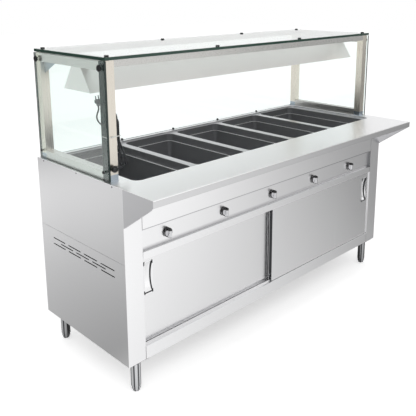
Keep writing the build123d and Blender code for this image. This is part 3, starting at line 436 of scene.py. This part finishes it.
# ---- Glass panes ----
# Toughened float glass, clear through its faces, with edges of the deep green that its iron
# gives. The panes are held by steel standoffs with black caps, and the rear one by black clips.
def float_glass(name, thin_axis, face_code, edge_code):
    """Glass that is clear on its two faces and dark green round its edge."""
    facing_from, ripple_scale, smoothest, roughest = 0.5, 40.0, 0.12, 0.24
    material, place = new_material(name)
    facing = add_node(material, "ShaderNodeMath", {0: surface_facing(material)[thin_axis]}, operation="ABSOLUTE")
    is_edge = add_node(material, "ShaderNodeMath", {0: facing, 1: facing_from}, operation="LESS_THAN")
    clear = add_node(material, "ShaderNodeBsdfPrincipled", {
        "Base Color": linear(face_code), "Roughness": 0.0, "IOR": 1.5, "Transmission Weight": 1.0})
    ripple = add_node(material, "ShaderNodeTexNoise", {"Vector": place, "Scale": ripple_scale})
    rough = add_node(material, "ShaderNodeMapRange", {"Value": ripple, "To Min": smoothest, "To Max": roughest})
    edge = add_node(material, "ShaderNodeBsdfPrincipled", {
        "Base Color": linear(edge_code), "Roughness": rough, "IOR": 1.5})
    return finish(material, add_node(material, "ShaderNodeMixShader", {0: is_edge, 1: clear, 2: edge}))


dress(float_glass("float_glass_top", "Z", "#f6fcfa", "#17382d"), "top_glass")
dress(float_glass("float_glass_side", "X", "#f7fdfb", "#0d2521"), "left_glass", "right_glass")
dress(float_glass("float_glass_rear", "Y", "#fbfffe", "#1f463c"), "rear_glass")
dress(brushed_steel("standoff_steel", "#eeeeef", 0.12, "x", 0.2), "glass_standoffs")
dress(moulded("cap_plastic", "#0d0e10", 0.3), "standoff_caps", "rear_glass_clips")


# ---- Light hood ----
# Folded reflector of satin stainless under the guard's top, with frosted quartz heat lamps in
# ceramic sockets.
def frosted_quartz(name, code):
    """Quartz tube, part clear, with an uneven frost."""
    frost_scale, smoothest, roughest = 90.0, 0.1, 0.3
    material, place = new_material(name)
    frost = add_node(material, "ShaderNodeTexNoise", {"Vector": place, "Scale": frost_scale})
    rough = add_node(material, "ShaderNodeMapRange", {"Value": frost, "To Min": smoothest, "To Max": roughest})
    return finish(material, add_node(material, "ShaderNodeBsdfPrincipled", {
        "Base Color": linear(code), "Roughness": rough, "IOR": 1.46, "Transmission Weight": 0.6}))


dress(brushed_steel("hood_satin_steel", "#faf8f6", 0.5, "x"), "light_hood")
dress(moulded("socket_ceramic", "#e4dfd3", 0.5), "lamp_sockets")
dress(frosted_quartz("lamp_quartz", "#efe9df"), "hood_lamps")


# ---- Lamp cord ----
# Black rubber lead of the lamp hood, 6 mm thick and about 1.2 m long, put away as a hank on the
# post: out of the strain relief, up and down through the tie, and by its tail to the plug.
cord_diameter = 0.006
# Points are in mm, from the post's front outer corner at worktop level.
lead = [(26.5, -12, 50), (39, -14, 50), (53, -9.5, 52), (64, 2, 60), (68, 12, 76)]
first_rise = [(66, 17, 96), (59, 15, 120), (49, 9, 146), (43.6, 4.5, 172), (43.4, 3, 196), (43.4, 3, 220)]
high_fold = [(43.4, 3, 238), (43.4, 4, 252), (43.4, 12.5, 262), (43.4, 25.5, 262), (43.4, 34, 252),
             (43.4, 35, 238)]
first_fall = [(43.4, 32, 220), (43.4, 26, 196), (43.6, 22.5, 172), (47, 24, 148), (56, 27, 122), (66, 28, 100)]
inner_loop = [(72.5, 28.5, 82), (74, 28.5, 66), (67, 21.5, 54.5), (55.5, 10.5, 54.5), (48, 4, 66),
              (47.5, 3, 82)]
second_rise = [(49, 2, 100), (50.5, 0.5, 124), (51, 1, 150), (50, 3.5, 174), (49.6, 3, 198)]
low_fold = [(49.6, 3, 216), (49.6, 3.5, 230), (49.6, 12, 240), (49.6, 25, 240), (49.6, 34, 230),
            (49.6, 34.5, 216)]
second_fall = [(49.6, 30, 196), (50, 23.5, 174), (57, 22, 150), (70, 24, 124), (83, 26, 102)]
outer_loop = [(94, 28, 84), (98, 27.5, 66), (92, 20.5, 52), (79.5, 9.5, 52), (73, 3, 66), (72, 1.5, 82)]
last_rise = [(70.5, 2, 96), (65, 5, 120), (57, 10, 146), (52.3, 13.5, 170)]
tail = [(55.5, 23, 187), (56.5, 38, 191), (53, 56, 189.5), (46, 75, 193), (38, 88, 204), (26, 94, 218),
        (19, 95, 235), (22, 94, 252), (29, 92, 267), (28, 92, 282)]
route = (lead + first_rise + high_fold + first_fall + inner_loop + second_rise + low_fold + second_fall
         + outer_loop + last_rise + tail)
corner_x, corner_y, corner_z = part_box("guard_posts")[0]
cord_points = [(corner_x + x / 1000, corner_y + y / 1000, corner_z + z / 1000) for x, y, z in route]
cord_curve = bpy.data.curves.new("lamp_lead", "CURVE")
cord_curve.dimensions = "3D"
cord_curve.resolution_u = 12
cord_curve.bevel_depth = cord_diameter / 2
cord_curve.bevel_resolution = 4
cord_curve.use_fill_caps = True
spline = cord_curve.splines.new("NURBS")
spline.points.add(len(cord_points) - 1)
for point, place in zip(spline.points, cord_points):
    point.co = (*place, 1.0)
spline.order_u = 3
spline.use_endpoint_u = True
lamp_lead = bpy.data.objects.new("lamp_lead", cord_curve)
bpy.context.scene.collection.objects.link(lamp_lead)
cord_curve.materials.append(moulded("cord_rubber", "#15171c", 0.38, 0.8, 1.5))
centre_line = bpy.data.objects.new("centre_line", cord_curve.copy())
centre_line.data.bevel_depth = 0.0
line_mesh = bpy.data.meshes.new_from_object(centre_line)
bpy.data.objects.remove(centre_line)
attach(lamp_lead, "cabinet")
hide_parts("lamp_cord", "cord_hank")


# ---- Strain relief, plug and tie ----
# The strain relief is a black rubber ball, the plug is moulded grey PVC, and the tie round the
# post is natural nylon.
dress(moulded("strain_relief_rubber", "#0c0d0f", 0.3, 1.0), "cord_grommet")
dress(moulded("plug_pvc", "#6f7276", 0.4), "cord_plug")
dress(moulded("tie_nylon", "#c9cac6", 0.4), "cord_tie")


# ---- Studio floor ----
# White paper floor that keeps the soft shadow. Steel that reflects it sees a painted glow, which
# falls off to grey towards the far end, with a painted shadow under the cabinet.
white = (1.0, 1.0, 1.0, 1.0)
camera_ray, glossy_ray, clear_ray = "Is Camera Ray", "Is Glossy Ray", "Is Transmission Ray"
bpy.ops.object.select_all(action="DESELECT")
bpy.ops.mesh.primitive_plane_add(size=40.0, location=(0.0, 0.0, 0.0))
floor = bpy.context.object
floor.name = "studio_floor"
floor_paper, floor_place = new_material("floor_paper")
rays = add_node(floor_paper, "ShaderNodeLightPath").outputs
# Looked at straight or through glass, the paper is lifted to white.
paper_lift = 0.45
paper = add_node(floor_paper, "ShaderNodeBsdfDiffuse", {"Color": (0.9, 0.9, 0.9, 1.0)})
straight = add_node(floor_paper, "ShaderNodeMath", {0: rays[camera_ray], 1: rays[clear_ray]}, operation="MAXIMUM")
lift = add_node(floor_paper, "ShaderNodeMath", {0: straight, 1: paper_lift}, operation="MULTIPLY")
lifted = add_node(floor_paper, "ShaderNodeEmission", {"Color": white, "Strength": lift})
lit_paper = add_node(floor_paper, "ShaderNodeAddShader", {0: paper, 1: lifted})
# In reflections a painted glow falls off along the table, rises towards the front, and fades far behind.
front_level, rear_level, darkest, brightest = 0.62, 0.42, 0.3, 1.1
turn_from, turn_to = -0.3, 0.1
along_rate, before_rate, behind_rate = -0.30, -0.32, 0.28
fade_from, fade_to, fade_level = 2.8, 4.5, 0.2
at = add_node(floor_paper, "ShaderNodeSeparateXYZ", {0: floor_place}).outputs
along = add_node(floor_paper, "ShaderNodeMath", {
    0: at["X"], 1: along_rate, 2: front_level}, operation="MULTIPLY_ADD")
before = add_node(floor_paper, "ShaderNodeMath", {0: at["Y"], 1: before_rate, 2: along}, operation="MULTIPLY_ADD")
behind = add_node(floor_paper, "ShaderNodeMath", {
    0: at["Y"], 1: behind_rate, 2: rear_level}, operation="MULTIPLY_ADD")
is_behind = add_node(floor_paper, "ShaderNodeMapRange", {
    "Value": at["Y"], "From Min": turn_from, "From Max": turn_to})
fall = add_node(floor_paper, "ShaderNodeMix", {0: is_behind, 2: before, 3: behind}, data_type="FLOAT")
kept = add_node(floor_paper, "ShaderNodeClamp", {0: fall, "Min": darkest, "Max": brightest})
fade = add_node(floor_paper, "ShaderNodeMapRange", {
    "Value": at["Y"], "From Min": fade_from, "From Max": fade_to, "To Min": 1.0, "To Max": fade_level})
open_floor = add_node(floor_paper, "ShaderNodeMath", {0: kept, 1: fade}, operation="MULTIPLY")
# Under the cabinet a painted shadow makes it nearly black.
under_cabinet_shadow, cabinet_middle, cabinet_half_depth = 0.06, 0.09, 0.29
ends_from, ends_to = 0.80, 0.92
half_length = add_node(floor_paper, "ShaderNodeMath", {0: at["X"]}, operation="ABSOLUTE")
within_ends = add_node(floor_paper, "ShaderNodeMapRange", {
    "Value": half_length, "From Min": ends_from, "From Max": ends_to, "To Min": 1.0, "To Max": 0.0})
within_depth = add_node(floor_paper, "ShaderNodeMath", {
    0: at["Y"], 1: cabinet_middle, 2: cabinet_half_depth}, operation="COMPARE")
shadow_beneath = add_node(floor_paper, "ShaderNodeMath", {0: within_ends, 1: within_depth}, operation="MULTIPLY")
sheen = add_node(floor_paper, "ShaderNodeMix", {0: shadow_beneath, 2: open_floor, 3: under_cabinet_shadow}, data_type="FLOAT")
# A ray through glass also counts as glossy, so it is taken out again.
reflected = add_node(floor_paper, "ShaderNodeMath", {0: rays[glossy_ray], 1: rays[clear_ray]}, operation="SUBTRACT")
only_reflected = add_node(floor_paper, "ShaderNodeMath", {0: reflected, 1: 0.0}, operation="MAXIMUM")
seen = add_node(floor_paper, "ShaderNodeEmission", {"Color": sheen, "Strength": 1.0})
finish(floor_paper, add_node(floor_paper, "ShaderNodeMixShader", {0: only_reflected, 1: lit_paper, 2: seen}))
floor.data.materials.append(floor_paper)


# ---- Surround and lamp ----
# White surround, a little dimmer overhead and open to a dark room on one side, with one wide
# soft lamp from the front left.
diffuse_level, overhead_level, open_level = 0.74, 0.7, 0.25
open_way, open_from, open_full = (-0.707, 0.707, 0.0), 0.55, 0.92
world = bpy.data.worlds.new("white_surround")
bpy.context.scene.world = world
world.use_nodes = True
world.node_tree.nodes.clear()
way = add_node(world, "ShaderNodeTexCoord").outputs["Generated"]
height = add_node(world, "ShaderNodeSeparateXYZ", {0: way}).outputs["Z"]
glow = add_node(world, "ShaderNodeMapRange", {"Value": height, "To Min": 1.0, "To Max": overhead_level})
sideways = add_node(world, "ShaderNodeVectorMath", {
    0: way, 1: open_way}, operation="DOT_PRODUCT").outputs["Value"]
open_side = add_node(world, "ShaderNodeMapRange", {
    "Value": sideways, "From Min": open_from, "From Max": open_full, "To Min": 1.0, "To Max": open_level})
dimmed = add_node(world, "ShaderNodeMath", {0: glow, 1: open_side}, operation="MULTIPLY")
sky_rays = add_node(world, "ShaderNodeLightPath").outputs
seen_straight = add_node(world, "ShaderNodeMath", {
    0: sky_rays[camera_ray], 1: sky_rays[clear_ray]}, operation="MAXIMUM")
level = add_node(world, "ShaderNodeMix", {0: sky_rays[glossy_ray], 2: diffuse_level, 3: dimmed}, data_type="FLOAT")
shown = add_node(world, "ShaderNodeMix", {0: seen_straight, 2: level, 3: 1.0}, data_type="FLOAT")
sky = add_node(world, "ShaderNodeBackground", {"Color": white, "Strength": shown})
add_node(world, "ShaderNodeOutputWorld", {0: sky})

softbox_data = bpy.data.lights.new("softbox", "AREA")
softbox_data.shape = "RECTANGLE"
softbox_data.size = 3.0
softbox_data.size_y = 2.4
softbox_data.energy = 60.0
softbox = bpy.data.objects.new("softbox", softbox_data)
bpy.context.scene.collection.objects.link(softbox)
softbox.location = (-2.6, -2.8, 3.6)
softbox.rotation_euler = (math.radians(48), 0.0, math.radians(-42))
